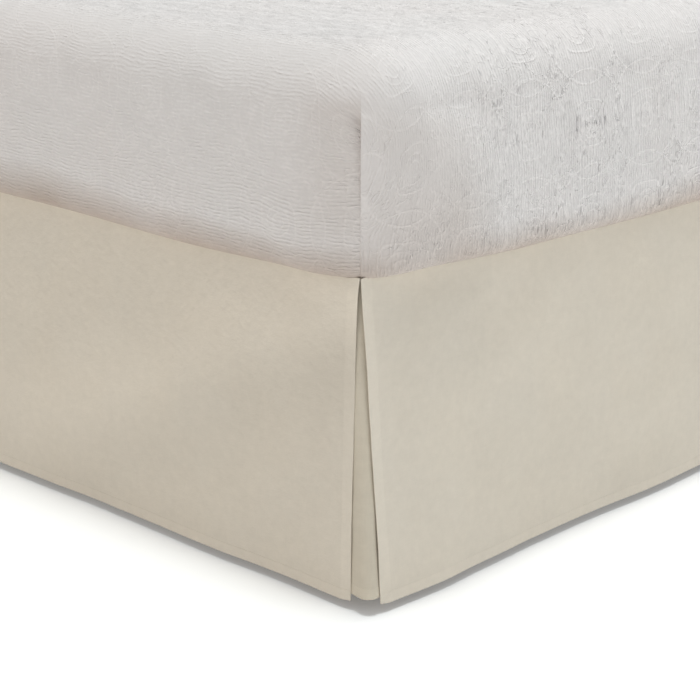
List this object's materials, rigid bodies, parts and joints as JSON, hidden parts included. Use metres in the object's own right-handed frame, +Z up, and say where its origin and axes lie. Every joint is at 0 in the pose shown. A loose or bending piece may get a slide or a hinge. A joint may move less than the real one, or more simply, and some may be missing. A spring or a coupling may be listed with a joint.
{
  "type": "bed skirt on a mattress and bed",
  "caption": "Tailored bed skirt with flat drops and split corners over pleat inserts, hung from its deck between a plain mattress and foundation on legs.",
  "frame": {"origin": "middle of the bed's footprint on the floor", "axes": "+Z up, +Y from the foot of the bed to its head, +X to the side that meets the pictured corner"},
  "size_m": [1.5976, 2.0936, 0.6103],
  "materials": {
    "poplin": "matt ivory poplin",
    "cover": "white puckered cotton",
    "ticking": "plain woven ticking",
    "leg_wood": "satin beech"
  },
  "bodies": {
    "root": {"skirt_deck": "poplin", "skirt_foot_panel": "poplin", "skirt_side_panel_right": "poplin", "skirt_side_panel_left": "poplin", "skirt_corner_insert_right": "poplin", "skirt_corner_insert_left": "poplin", "mattress": "cover", "foundation": "ticking", "leg_01": "leg_wood", "leg_02": "leg_wood", "leg_03": "leg_wood", "leg_04": "leg_wood", "leg_05": "leg_wood", "leg_06": "leg_wood"}
  },
  "joints": []
}
